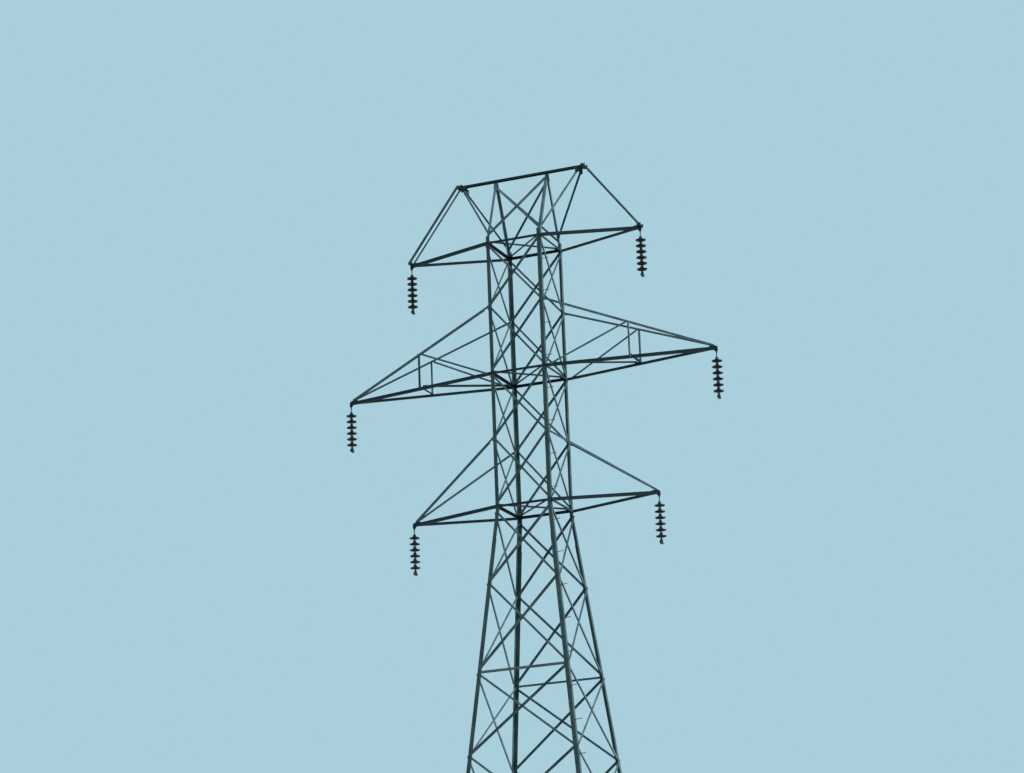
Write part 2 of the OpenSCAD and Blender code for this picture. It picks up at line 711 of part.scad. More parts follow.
// Shackle around the tip plate, with its pin, and the link down to the first cap
module shackle() {
    bow_z = -shackle_pin_r - 40;
    translate([0, -cheek_y - 16, 0]) rotate([-90, 0, 0])
        cylinder(r = shackle_pin_r, h = 2 * cheek_y + 32, $fn = 32);
    both_sides() {
        translate([0, cheek_y, 0]) rotate([-90, 0, 0]) cylinder(r = 20, h = 10, $fn = 32);
        translate([-11, cheek_y, bow_z]) cube([22, 10, -bow_z]);
    }
    translate([-11, -cheek_y - 10, bow_z - 12]) cube([22, 2 * cheek_y + 20, 14]);
    translate([0, 0, cap_top - 1]) cylinder(r = pin_r + 2, h = bow_z - cap_top, $fn = 32);
}

// Socket for the last ball on a block, with a strap on each side of it down to the clamp's trunnions
module clamp_hanger() {
    floor_z = last_rim - disc_pitch + 58 - clamp_z;
    low = clamp_axis - 18;
    difference() {
        union() {
            translate([0, 0, floor_z - 14]) cylinder(r = strap_x - coat, h = 48, $fn = 48);
            translate([coat - strap_x, -strap_w / 2, floor_z - 26])
                cube([2 * (strap_x - coat), strap_w, 24]);
        }
        translate([0, 0, floor_z]) cylinder(r = socket_r + coat, h = 22, $fn = 48);
        translate([0, 0, floor_z + 1]) cylinder(r = pin_r + 2, h = 60, $fn = 48);
    }
    for (s = [0, 1]) mirror([s, 0, 0]) difference() {
        translate([strap_x, -strap_w / 2, low]) cube([strap_t, strap_w, floor_z - 2 - low]);
        translate([strap_x - 1, 0, clamp_axis]) rotate([0, 90, 0])
            cylinder(r = 9, h = strap_t + 2, $fn = 32);
    }
}

// Boat with its keeper around the conductor, on two trunnions
module suspension_clamp() {
    half = strap_x - 8;
    difference() {
        translate([-half, 0, clamp_axis]) rotate([90, 0, 90]) linear_extrude(2 * half)
            polygon([[-clamp_l / 2, -15], [-clamp_l / 4, -26], [clamp_l / 4, -26], [clamp_l / 2, -15],
                [clamp_l / 2, 13], [clamp_l / 4, 15], [30, 20], [-30, 20], [-clamp_l / 4, 15],
                [-clamp_l / 2, 13]]);
        translate([0, -clamp_l, clamp_axis]) rotate([-90, 0, 0])
            cylinder(r = conductor_r, h = 2 * clamp_l, $fn = 32);
    }
    for (s = [0, 1]) mirror([s, 0, 0])
        translate([half - 1, 0, clamp_axis]) rotate([0, 90, 0])
            cylinder(r = 9 - coat, h = strap_x + strap_t + 4 - half, $fn = 32);
}

// Hanging point of the arm on the left (-1) or right (1)
module at_tip(reach, z, side) {
    translate([side * reach, 0, z + hole_z]) children();
}

foot();  // foot_front_left
rotate(90) foot();  // foot_front_right
rotate(180) foot();  // foot_back_right
rotate(270) foot();  // foot_back_left
leg();  // leg_front_left
rotate(90) leg();  // leg_front_right
rotate(180) leg();  // leg_back_right
rotate(270) leg();  // leg_back_left
lower_bracing(true);  // lower_bracing_front
rotate(90) lower_bracing(false);  // lower_bracing_right
rotate(180) lower_bracing(true);  // lower_bracing_back
rotate(270) lower_bracing(false);  // lower_bracing_left
upper_bracing(true);  // upper_bracing_front
rotate(90) upper_bracing(false);  // upper_bracing_right
rotate(180) upper_bracing(true);  // upper_bracing_back
rotate(270) upper_bracing(false);  // upper_bracing_left
plan_bracing();
peak_half();  // peak_front
rotate(180) peak_half();  // peak_back
shield_wire_bar();
bar_struts();
rotate(180) upper_arm_chords();  // upper_arm_left_chords
upper_arm_chords();  // upper_arm_right_chords
rotate(180) upper_arm_hangers();  // upper_arm_left_hangers
upper_arm_hangers();  // upper_arm_right_hangers
rotate(180) middle_arm_chords();  // middle_arm_left_chords
middle_arm_chords();  // middle_arm_right_chords
rotate(180) middle_arm_trusses();  // middle_arm_left_trusses
middle_arm_trusses();  // middle_arm_right_trusses
rotate(180) lower_arm_chords();  // lower_arm_left_chords
lower_arm_chords();  // lower_arm_right_chords
rotate(180) lower_arm_ties();  // lower_arm_left_ties
lower_arm_ties();  // lower_arm_right_ties
at_tip(upper_reach, upper_z, -1) string_discs();  // upper_left_discs
at_tip(upper_reach, upper_z, 1) string_discs();  // upper_right_discs
at_tip(middle_reach, middle_z, -1) string_discs();  // middle_left_discs
at_tip(middle_reach, middle_z, 1) string_discs();  // middle_right_discs
at_tip(lower_reach, lower_z, -1) string_discs();  // lower_left_discs
at_tip(lower_reach, lower_z, 1) string_discs();  // lower_right_discs
at_tip(upper_reach, upper_z, -1) string_fittings();  // upper_left_fittings
at_tip(upper_reach, upper_z, 1) string_fittings();  // upper_right_fittings
at_tip(middle_reach, middle_z, -1) string_fittings();  // middle_left_fittings
at_tip(middle_reach, middle_z, 1) string_fittings();  // middle_right_fittings
at_tip(lower_reach, lower_z, -1) string_fittings();  // lower_left_fittings
at_tip(lower_reach, lower_z, 1) string_fittings();  // lower_right_fittings
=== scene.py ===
import bpy
import math
import random
from mathutils import Matrix, Vector


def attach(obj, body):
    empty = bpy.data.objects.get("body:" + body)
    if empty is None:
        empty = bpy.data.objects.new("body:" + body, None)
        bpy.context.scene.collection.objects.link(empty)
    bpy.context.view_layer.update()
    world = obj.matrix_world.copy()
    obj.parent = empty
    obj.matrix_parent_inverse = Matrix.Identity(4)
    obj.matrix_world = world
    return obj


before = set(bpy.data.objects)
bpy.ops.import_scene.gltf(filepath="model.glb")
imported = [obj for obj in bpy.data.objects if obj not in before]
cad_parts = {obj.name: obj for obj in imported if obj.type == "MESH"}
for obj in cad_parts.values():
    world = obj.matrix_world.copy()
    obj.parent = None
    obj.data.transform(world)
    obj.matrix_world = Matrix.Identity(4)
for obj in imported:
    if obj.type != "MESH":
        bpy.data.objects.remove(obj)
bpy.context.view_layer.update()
print("frame loaded")

# where the photograph was taken from, seen from the tower's axis
viewpoint = {
    "azimuth": 21.765,       # degrees round the tower from straight in front
    "distance": 67.466,      # metres from the axis
    "height": 1.225,         # metres above the feet
    "pitch": 16.19,          # degrees above the horizon
    "roll": -2.193,
    "turn": 0.357,           # degrees that the lens points left of the axis
    "focalPixels": 2953.9,
    "imageWidth": 1024,
    "sensor": 36,            # mm
    "clipEnd": 400,
}


def makeCamera():
    around = math.radians(viewpoint["azimuth"])
    yaw = around + math.radians(viewpoint["turn"])
    pitch, roll = math.radians(viewpoint["pitch"]), math.radians(viewpoint["roll"])
    forward = Vector((-math.sin(yaw) * math.cos(pitch), math.cos(yaw) * math.cos(pitch),
                      math.sin(pitch)))
    level = Vector((math.cos(yaw), math.sin(yaw), 0))
    above = level.cross(forward)
    right = math.cos(roll) * level + math.sin(roll) * above
    up = -math.sin(roll) * level + math.cos(roll) * above
    place = Vector((math.sin(around), -math.cos(around), 0)) * viewpoint["distance"]
    place.z = viewpoint["height"]
    bpy.ops.object.camera_add()
    camera = bpy.context.object
    camera.name = "photoCamera"
    turned = Matrix((right, up, -forward)).transposed().to_4x4()
    camera.matrix_world = Matrix.Translation(place) @ turned
    camera.data.sensor_width = viewpoint["sensor"]
    camera.data.lens = viewpoint["sensor"] * viewpoint["focalPixels"] / viewpoint["imageWidth"]
    camera.data.clip_end = viewpoint["clipEnd"]
    bpy.context.scene.camera = camera


makeCamera()
bpy.context.scene.view_settings.view_transform = "Standard"
bpy.ops.object.select_all(action="DESELECT")
print("camera made")

mm = 0.001
soft = {"interpolation_type": "SMOOTHSTEP"}    # for Map Range: a value that rises softly within its range
colours = {"data_type": "RGBA"}                # for Mix: its colours are then inputs 6 and 7, and output 2


def toLinear(hexColour):
    parts = [int(hexColour[i:i + 2], 16) / 255 for i in (1, 3, 5)]
    return tuple(c / 12.92 if c <= 0.04045 else ((c + 0.055) / 1.055) ** 2.4 for c in parts) + (1,)


# inputs go by name or in their order; each is a number, a hex colour or the output of another node
def setInputs(tree, node, inputs):
    for socket, value in inputs.items() if isinstance(inputs, dict) else enumerate(inputs):
        if isinstance(value, bpy.types.NodeSocket):
            tree.links.new(value, node.inputs[socket])
        else:
            node.inputs[socket].default_value = toLinear(value) if isinstance(value, str) else value


def addNode(tree, kind, inputs=(), settings=None):
    node = tree.nodes.new(kind)
    for name, value in (settings or {}).items():
        setattr(node, name, value)
    setInputs(tree, node, inputs)
    return node


def newMaterial(name):
    material = bpy.data.materials.new(name)
    material.use_nodes = True
    tree = material.node_tree
    return material, tree, tree.nodes["Principled BSDF"]


# hot dip galvanised rolled steel that has stood outdoors for decades: a matt, blue grey zinc patina with
# faint spangle, rain streaks down the bars, and rust specks where the zinc has worn thin
zincLook = {
    "deep": "#395660", "mid": "#5b7a83", "bright": "#82999d", "stain": "#2c464f", "rust": "#6f4a33",
    "patchMm": 420, "streakMm": 34, "spangleMm": 16, "speckMm": 26, "rustZoneMm": 900, "grainMm": 3,
    # how high a pattern's noise has to be before it shows, and when it shows in full
    "patchRange": (0.32, 0.68), "streakRange": (0.5, 0.72), "spangleRange": (0.2, 1.0),
    "rustZoneRange": (0.5, 0.7), "rustFrom": 0.6, "rustEdge": 0.07,
    "streakStretch": 0.07, "streakStrength": 0.55, "spangleStrength": 0.22,
    "roughLow": 0.55, "roughHigh": 0.75, "roughRange": (0.3, 0.7), "spangleRough": 0.05,
    "metallic": 0.15, "rustDull": 0.6,    # share of rust where nothing metallic is left
    "gloss": 0.3, "bumpStrength": 0.35, "bumpMm": 0.6,
}
# detail and roughness of the noise behind each pattern
zincNoises = {
    "patch": (5, 0.6), "streak": (3, 0.55), "speck": (6, 0.7), "rustZone": (2, 0.5), "grain": (3, 0.5),
}


def weatheredZinc(name, look):
    material, tree, shader = newMaterial(name)
    place = addNode(tree, "ShaderNodeTexCoord").outputs["Object"]
    stretched = addNode(tree, "ShaderNodeMapping", {
        "Vector": place, "Scale": (1, 1, look["streakStretch"])}).outputs["Vector"]
    noises = {}
    for pattern, (detail, roughness) in zincNoises.items():
        noises[pattern] = addNode(tree, "ShaderNodeTexNoise", {
            "Vector": stretched if pattern == "streak" else place, "Scale": 1 / (look[pattern + "Mm"] * mm),
            "Detail": detail, "Roughness": roughness}).outputs["Fac"]
    spangle = addNode(tree, "ShaderNodeTexVoronoi", {
        "Vector": place, "Scale": 1 / (look["spangleMm"] * mm)}).outputs["Color"]
    crystal = addNode(tree, "ShaderNodeSeparateColor", (spangle,)).outputs[0]

    # what rises: its source, the source's range, and the two values that it rises from and to
    rises = {
        "worn": (noises["patch"], *look["patchRange"], 0, 1),
        "lit": (crystal, *look["spangleRange"], 0, look["spangleStrength"]),
        "stained": (noises["streak"], *look["streakRange"], 0, look["streakStrength"]),
        "rustZone": (noises["rustZone"], *look["rustZoneRange"], 0, 1),
        "rustSpecks": (noises["speck"], look["rustFrom"], look["rustFrom"] + look["rustEdge"], 0, 1),
        "rough": (noises["patch"], *look["roughRange"], look["roughLow"], look["roughHigh"]),
        "roughCrystal": (crystal, 0, 1, -look["spangleRough"], look["spangleRough"]),
    }
    shown = {}
    for part, rise in rises.items():
        shown[part] = addNode(tree, "ShaderNodeMapRange", rise, soft).outputs["Result"]
    rust = addNode(tree, "ShaderNodeMath", (shown["rustZone"], shown["rustSpecks"]),
                   {"operation": "MULTIPLY"}).outputs[0]
    rough = addNode(tree, "ShaderNodeMath", (shown["rough"], shown["roughCrystal"]),
                    {"operation": "ADD"}).outputs[0]
    metallic = addNode(tree, "ShaderNodeMapRange", (rust, 0, look["rustDull"], look["metallic"], 0), soft)

    # each colour lies over the ones before it
    zinc = look["deep"]
    for amount, colour in ((shown["worn"], "mid"), (shown["lit"], "bright"), (shown["stained"], "stain"),
                           (rust, "rust")):
        zinc = addNode(tree, "ShaderNodeMix", {0: amount, 6: zinc, 7: look[colour]}, colours).outputs[2]
    height = addNode(tree, "ShaderNodeMath", (noises["grain"], rust), {"operation": "ADD"}).outputs[0]
    bump = addNode(tree, "ShaderNodeBump", {
        "Height": height, "Strength": look["bumpStrength"], "Distance": look["bumpMm"] * mm})
    setInputs(tree, shader, {
        "Base Color": zinc, "Roughness": rough, "Metallic": metallic.outputs["Result"],
        "Specular IOR Level": look["gloss"], "Normal": bump.outputs["Normal"]})
    return material


legZinc = weatheredZinc("weatheredGalvanisedLegAngles", dict(
    zincLook, deep="#36545c", mid="#5f7a79", patchMm=520))
# the bracing keeps the zinc's real grey, made paler than the legs' as painted light on the thin braces' flat
# faces
paintedLightBracingZinc = weatheredZinc("weatheredGalvanisedBracingPaintedLight", dict(
    zincLook, deep="#507079", mid="#7c9ba3", bright="#9cb3b7"))
platesZinc = weatheredZinc("weatheredGalvanisedPlates", dict(
    zincLook, mid="#56727b", patchMm=260, rustFrom=0.57))
# painted shade: the arms' chords and the bar get a much darker zinc than the rest of the tower, which stands in
# for the shade on them seen from below
paintedShadeChordZinc = weatheredZinc("galvanisedChordsPaintedShade", dict(
    zincLook, deep="#163039", mid="#28444e", bright="#4f6b73", stain="#10242c", patchMm=360))
# bolts are dipped and spun, so their zinc is thinner, rougher and rusts sooner
boltZinc = weatheredZinc("spunGalvanisedBolts", dict(
    zincLook, deep="#384a50", mid="#5a6b6e", bright="#7e8d90", patchMm=60, spangleMm=5, speckMm=9,
    rustZoneMm=260, grainMm=1.5, rustFrom=0.53, streakStrength=0.3))
# cast and forged fittings of the strings: dark, heavily dipped zinc over a coarse forged skin
fittingZinc = weatheredZinc("dippedForgedFittings", dict(
    zincLook, deep="#162931", mid="#2b4048", bright="#4b6067", patchMm=45, streakMm=9, spangleMm=7,
    speckMm=7, rustZoneMm=120, grainMm=1.8, rustFrom=0.55, roughLow=0.45, roughHigh=0.62, metallic=0.3))
print("zinc materials made")


# fired brown glaze on wet-process porcelain: a glassy skin over dark clay, with grey dust on what faces up
def makePorcelain():
    look = {
        "glaze": "#271a1a", "thick": "#150f12", "dust": "#484a4b", "mottleMm": 30, "dustMm": 11,
        "mottleRange": (0.35, 0.65), "dustRange": (0.35, 0.75), "dustLow": 0.06, "dustHigh": 0.45,
        "dustFacing": (0.25, 0.95),    # how far a surface has to face up before dust settles on it
        "roughClean": 0.14, "roughDusty": 0.62, "dustDull": 0.5, "ior": 1.52,
        "waveMm": 4, "waveStrength": 0.08, "waveHeightMm": 0.3,
    }
    material, tree, shader = newMaterial("brownGlazedPorcelain")
    place = addNode(tree, "ShaderNodeTexCoord").outputs["Object"]
    mottle = addNode(tree, "ShaderNodeTexNoise", {
        "Vector": place, "Scale": 1 / (look["mottleMm"] * mm), "Detail": 4}).outputs["Fac"]
    mottle = addNode(tree, "ShaderNodeMapRange", (mottle, *look["mottleRange"]), soft).outputs["Result"]
    normal = addNode(tree, "ShaderNodeNewGeometry").outputs["Normal"]
    facing = addNode(tree, "ShaderNodeSeparateXYZ", (normal,)).outputs["Z"]
    settled = addNode(tree, "ShaderNodeMapRange", (facing, *look["dustFacing"]), soft).outputs["Result"]
    dusty = addNode(tree, "ShaderNodeTexNoise", {
        "Vector": place, "Scale": 1 / (look["dustMm"] * mm), "Detail": 5, "Roughness": 0.65}).outputs["Fac"]
    dusty = addNode(tree, "ShaderNodeMapRange", (
        dusty, *look["dustRange"], look["dustLow"], look["dustHigh"]), soft).outputs["Result"]
    dust = addNode(tree, "ShaderNodeMath", (settled, dusty), {"operation": "MULTIPLY"}).outputs[0]
    rough = addNode(tree, "ShaderNodeMapRange", (
        dust, 0, look["dustDull"], look["roughClean"], look["roughDusty"]), soft).outputs["Result"]
    colour = look["thick"]
    for amount, layer in ((mottle, "glaze"), (dust, "dust")):
        colour = addNode(tree, "ShaderNodeMix", {0: amount, 6: colour, 7: look[layer]}, colours).outputs[2]
    waves = addNode(tree, "ShaderNodeTexNoise", {
        "Vector": place, "Scale": 1 / (look["waveMm"] * mm), "Detail": 1}).outputs["Fac"]
    bump = addNode(tree, "ShaderNodeBump", {
        "Height": waves, "Strength": look["waveStrength"], "Distance": look["waveHeightMm"] * mm})
    setInputs(tree, shader, {
        "Base Color": colour, "Roughness": rough, "IOR": look["ior"], "Normal": bump.outputs["Normal"]})
    return material


# Portland cement grout that holds cap and pin in the disc: pale, dry and sandy
def makeGrout():
    look = {"pale": "#8f8c84", "dark": "#5d5b56", "sandMm": 3, "sandRange": (0.3, 0.7), "rough": 0.92,
            "bumpStrength": 0.5, "bumpMm": 0.5}
    material, tree, shader = newMaterial("portlandCementGrout")
    place = addNode(tree, "ShaderNodeTexCoord").outputs["Object"]
    sand = addNode(tree, "ShaderNodeTexNoise", {
        "Vector": place, "Scale": 1 / (look["sandMm"] * mm), "Detail": 6, "Roughness": 0.7}).outputs["Fac"]
    worn = addNode(tree, "ShaderNodeMapRange", (sand, *look["sandRange"]), soft).outputs["Result"]
    colour = addNode(tree, "ShaderNodeMix", {0: worn, 6: look["dark"], 7: look["pale"]}, colours).outputs[2]
    bump = addNode(tree, "ShaderNodeBump", {
        "Height": sand, "Strength": look["bumpStrength"], "Distance": look["bumpMm"] * mm})
    setInputs(tree, shader, {
        "Base Color": colour, "Roughness": look["rough"], "Normal": bump.outputs["Normal"]})
    return material


porcelain = makePorcelain()
grout = makeGrout()
print("porcelain and grout made")


def finishFor(name):
    if "discs" in name:
        return porcelain
    if "fittings" in name:
        return fittingZinc
    if name.startswith("foot"):
        return platesZinc
    if name.startswith("leg"):
        return legZinc
    # painted shade: the chords, the shield wire bar and the plan bracing take the darker chord zinc
    if "chords" in name or name in ("shield_wire_bar", "plan_bracing"):
        return paintedShadeChordZinc
    return paintedLightBracingZinc


for name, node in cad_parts.items():
    node.data.materials.clear()
    node.data.materials.append(finishFor(name))
print("CAD nodes finished")

# the tower's sizes in mm, as in the part's source: T is a thickness and B the width of a flange, and the braces
# of the sloping body meet at the levels
tower = {
    "baseWidth": 5280, "bodyWidth": 1400, "levels": [4000, 7000, 9600, 11900, 13850, 15950, 17700],
    "arms": [17800, 21050, 24300], "armStep": 3250, "tieRise": 1650, "barTop": 26120,
    "reach": [3110, 4700, 2980], "postX": 2690, "barLength": 3300, "barH": 50, "hangerGap": 180,
    "legT": 8, "lowLegB": 100, "braceB": 45, "braceT": 4, "lowBraceB": 50, "lowBraceT": 5,
    "strutB": 50, "strutT": 5, "stayB": 40, "stayT": 4, "frameB": 60, "frameT": 6,
    "chordB": 70, "chordT": 6, "tieT": 5, "webT": 4, "tipT": 8, "holeDrop": 30,
    "peakLegB": 65, "peakLegT": 6, "ridgeY": 15, "footT": 28, "anchorPitch": 340,
    "coat": 0.1, "lap": 15, "clear": 4, "nodeGap": 22,
}
halfBase, halfBody = tower["baseWidth"] / 2, tower["bodyWidth"] / 2
waist = tower["levels"][-1]
batter = (halfBase - halfBody) / waist
tilt = math.atan(batter)
# bolt lines of the braces, from the leg's corner
lowGauge = tower["legT"] + tower["lowBraceB"] / 2 + tower["lap"] + tower["clear"]
gauge = tower["legT"] + tower["braceB"] / 2 + tower["lap"] + tower["clear"]
# from an arm's level, or from a strut, to the end bolts of the braces, with room for their slanting ends
armOff = tower["chordB"] / 2 + tower["clear"] + tower["lap"] + tower["braceB"] / 3
strutOff = tower["strutB"] / 2 + tower["clear"] + tower["lap"] + tower["lowBraceB"] / 3
# inner faces of the upper legs
inner = halfBody - tower["legT"] - tower["coat"]


def halfWidth(z):
    return halfBase - batter * min(z, waist)


# leaves the piece in edit mode with the wanted faces selected
def pickFaces(piece, wanted):
    bpy.ops.object.mode_set(mode="OBJECT")
    for part in (piece.data.vertices, piece.data.edges, piece.data.polygons):
        for element in part:
            element.select = False
    for face in piece.data.polygons:
        face.select = wanted(face)
    bpy.ops.object.mode_set(mode="EDIT")
    bpy.ops.mesh.select_mode(type="FACE")


def bevelTop(piece, offset):
    pickFaces(piece, lambda face: face.normal.z > 0.9)
    bpy.ops.mesh.bevel(offset=offset * mm, segments=1, affect="EDGES")
    bpy.ops.object.mode_set(mode="OBJECT")


# a bar with so many sides that stands on z = low, its top edge chamfered
def addRound(count, radius, low, height, chamfer=0.0):
    bpy.ops.mesh.primitive_cylinder_add(vertices=count, radius=radius * mm, depth=height * mm,
                                        location=(0, 0, (low + height / 2) * mm))
    piece = bpy.context.object
    bpy.ops.object.transform_apply(location=True, rotation=True, scale=True)
    if chamfer:
        bevelTop(piece, chamfer)
    return piece


def joinPieces(parts, name):
    bpy.ops.object.select_all(action="DESELECT")
    for piece in parts:
        piece.select_set(True)
    bpy.context.view_layer.objects.active = parts[0]
    if len(parts) > 1:
        bpy.ops.object.join()
    bpy.ops.object.transform_apply(location=True, rotation=True, scale=True)
    piece = bpy.context.object
    piece.name = name
    bpy.ops.object.select_all(action="DESELECT")
    return piece


# hexagon bolts by thread: head and nut across flats, heights, washer and the end that stands out
boltSizes = {
    "m10": {"flats": 16, "head": 6.5, "nut": 9, "washer": 20, "washerT": 2, "thread": 9.6, "end": 5},
    "m12": {"flats": 18, "head": 7.5, "nut": 10, "washer": 24, "washerT": 2.5, "thread": 12, "end": 7},
    "m16": {"flats": 24, "head": 10, "nut": 13, "washer": 30, "washerT": 3, "thread": 16, "end": 9},
    "m20": {"flats": 30, "head": 12, "nut": 11, "washer": 37, "washerT": 3, "thread": 20, "end": 12},
    "m27": {"flats": 41, "head": 17, "nut": 22, "washer": 56, "washerT": 5, "thread": 27, "end": 30},
}
hexChamfer, endChamfer, endSunk = 1.4, 1.0, 1.0    # the end starts this far inside the nut
sides = {"hex": 6, "rod": 8, "washer": 12}         # that each of these forms has
packing = {"radius": 15, "height": 6.1}


# head and nut of one size, both standing on z = 0
def modelBolt(size, name):
    corner = size["flats"] / 2 / math.cos(math.pi / 6)
    head = joinPieces([addRound(sides["hex"], corner, 0, size["head"], hexChamfer)], name + "Head")
    top = size["washerT"] + size["nut"]
    nut = joinPieces([
        addRound(sides["washer"], size["washer"] / 2, 0, size["washerT"]),
        addRound(sides["hex"], corner, size["washerT"], size["nut"], hexChamfer),
        addRound(sides["rod"], size["thread"] / 2, top - endSunk, size["end"], endChamfer),
    ], name + "Nut")
    return head, nut


boltModels = {name: modelBolt(size, name) for name, size in boltSizes.items()}
packingModel = joinPieces([addRound(sides["washer"], packing["radius"], 0, packing["height"])], "packing")
chance = random.Random(11)    # for how far each bolt is turned
groups = {}
print("bolts modelled")


# a copy with its own mesh, its z along the normal and turned by chance about it; lengths in mm
def putCopy(group, model, point, normal, turn=None):
    piece = model.copy()
    piece.data = model.data.copy()
    bpy.context.collection.objects.link(piece)
    upright = Vector(normal).to_track_quat("Z", "Y").to_matrix().to_4x4()
    spin = Matrix.Rotation(chance.uniform(0, math.tau) if turn is None else turn, 4, "Z")
    piece.matrix_world = Matrix.Translation(Vector(point) * mm) @ upright @ spin
    groups.setdefault(group, []).append(piece)


# a bolt through a grip: its head at the point on the normal's side, its nut on the other
def fasten(group, thread, point, normal, grip, face=None):
    point, normal = Vector(point), Vector(normal).normalized()
    if face is not None:
        # face is a matrix in mm from the face's own frame to the tower's
        point, normal = face @ point, face.to_3x3() @ normal
    head, nut = boltModels[thread]
    putCopy(group, head, point, normal)
    putCopy(group, nut, point - normal * grip, -normal)


def towerFace(number, z):
    lean = Matrix.Rotation(-tilt, 4, "X") if z < waist else Matrix.Identity(4)
    return Matrix.Rotation(number * math.pi / 2, 4, "Z") @ Matrix.Translation((0, -halfWidth(z), z)) @ lean


sideNames = ["Front", "Right", "Back", "Left"]    # of the faces, as they turn with towerFace
levelNames = ["lower", "middle", "upper"]          # of the arms
outwards = (0, -1, 0)                              # in a face's frame


# bolts of two crossed braces: low and high are [x, z] of the end bolts in the face's frame
def fastenPair(group, thread, face, low, high, t, gap, cover=(0, 0)):
    coat, legT = tower["coat"], tower["legT"]
    for x, z in ((-low[0], low[1]), (high[0], high[1])):
        fasten(group, thread, (x, -gap - t, z), outwards, gap + t + legT, face)
    for (x, z), over in (((low[0], low[1]), cover[0]), ((-high[0], high[1]), cover[1])):
        fasten(group, thread, (x, -over, z), outwards, over + legT + coat + t, face)
    crossZ = low[1] + (high[1] - low[1]) * low[0] / (low[0] + high[0])
    fasten(group, thread, (0, -gap - t, crossZ), outwards, gap + 2 * t + legT + coat, face)


# a bolt through a leg's flange and the member of thickness t on its inner face
def fastenInside(group, thread, x, z, t, face):
    coat, legT = tower["coat"], tower["legT"]
    fasten(group, thread, (x, 0, z), outwards, legT + coat + t, face)


# the struts' levels, and how far in from a strut's end its bolt is
struts = {"levels": (0, 2, 4), "boltIn": 19}


def fastenLowerFace(number):
    group = "boltsLower" + sideNames[number]
    levels = tower["levels"]
    for index in range(len(levels) - 1):
        z0, z1 = levels[index], levels[index + 1]
        gaps = (tower["nodeGap"], strutOff) if index % 2 else (strutOff, tower["nodeGap"])
        rise = (z1 - z0) / math.cos(tilt)
        low = (halfWidth(z0 + gaps[0]) - lowGauge, gaps[0])
        high = (halfWidth(z1 - gaps[1]) - lowGauge, rise - gaps[1])
        fastenPair(group, "m16", towerFace(number, z0), low, high, tower["lowBraceT"], tower["coat"])
    for index in struts["levels"]:
        # the sides have only the strut above the open panel
        if index and number % 2:
            continue
        z = levels[index]
        end = halfWidth(z) - tower["legT"] - tower["strutB"] - tower["clear"] - struts["boltIn"]
        for x in (-end, end):
            fastenInside(group, "m16", x, 0, tower["strutT"], towerFace(number, z))
    fastenOpenPanel(group, number)


# the open panel between the feet: foot and apex of its long braces, the second bolt at the apex, the bolts of
# the middle plate on the strut, and the short stays' heights on the leg and on the brace, and how far in from
# the leg's flange a stay's bolt is, in widths of the stay
openPanel = {
    "footZ": 560, "apexX": 130, "apexDrop": 95, "boltPitch": 48, "plateBolts": (70, 170),
    "stays": ((1950, 1950), (3150, 2100)), "stayIn": 1.25,
}


def fastenOpenPanel(group, number):
    coat, legT, t = tower["coat"], tower["legT"], tower["lowBraceT"]
    face = towerFace(number, 0)
    top = tower["levels"][0] / math.cos(tilt)
    apex = (-openPanel["apexX"], top - openPanel["apexDrop"])
    foot = (-halfWidth(openPanel["footZ"]) + lowGauge, openPanel["footZ"])
    back = Vector((foot[0] - apex[0], 0, foot[1] - apex[1])).normalized() * openPanel["boltPitch"]
    stayEnd = legT + openPanel["stayIn"] * tower["stayB"] + tower["clear"] + tower["lap"]
    for side in (-1, 1):
        for x, z in (foot, apex, (apex[0] + back.x, apex[1] + back.z)):
            fasten(group, "m16", (side * x, -coat - t, z), outwards, coat + t + legT, face)
        for legZ, braceZ in openPanel["stays"]:
            onLeg = -halfWidth(legZ) + stayEnd
            onBrace = foot[0] + (apex[0] - foot[0]) * (braceZ - foot[1]) / (apex[1] - foot[1])
            fastenInside(group, "m12", side * onLeg, legZ, tower["stayT"], face)
            fasten(group, "m12", (side * onBrace, -coat - t, braceZ), outwards,
                   2 * coat + t + legT + tower["stayT"], face)
        for x in openPanel["plateBolts"]:
            fastenInside(group, "m16", side * x, top, tower["strutT"], face)


# leg splices: their heights, the bolts' line from the corner, and the bolts' places along the leg
splices = {"heights": (5500, 10750, 17000), "lines": (58, 58, 52), "along": (-165, -103, -40, 40, 103, 165)}
# the boot angle around the bottom of a leg
boot = {"t": 10, "line": 80, "heights": (110, 190, 270)}


def fastenSplices(number):
    group = "boltsLegs" + sideNames[number]
    legT, coat = tower["legT"], tower["coat"]
    for z, line in zip(splices["heights"], splices["lines"]):
        for side in (-1, 1):
            for along in splices["along"]:
                at = z + along
                fasten(group, "m16", (side * (halfWidth(at) - line), 0, 0), outwards,
                       2 * legT + coat, towerFace(number, at))
    skin = boot["t"] + coat
    for side in (-1, 1):
        for z in boot["heights"]:
            fasten(group, "m16", (side * (halfWidth(z) - boot["line"]), -skin, 0), outwards,
                   skin + legT, towerFace(number, z))


# bolts of the plan frames, arms' lap plates and legs: in from the corner, and below the arm's level
rootBolts = {"in": (28, 66), "drop": 6}


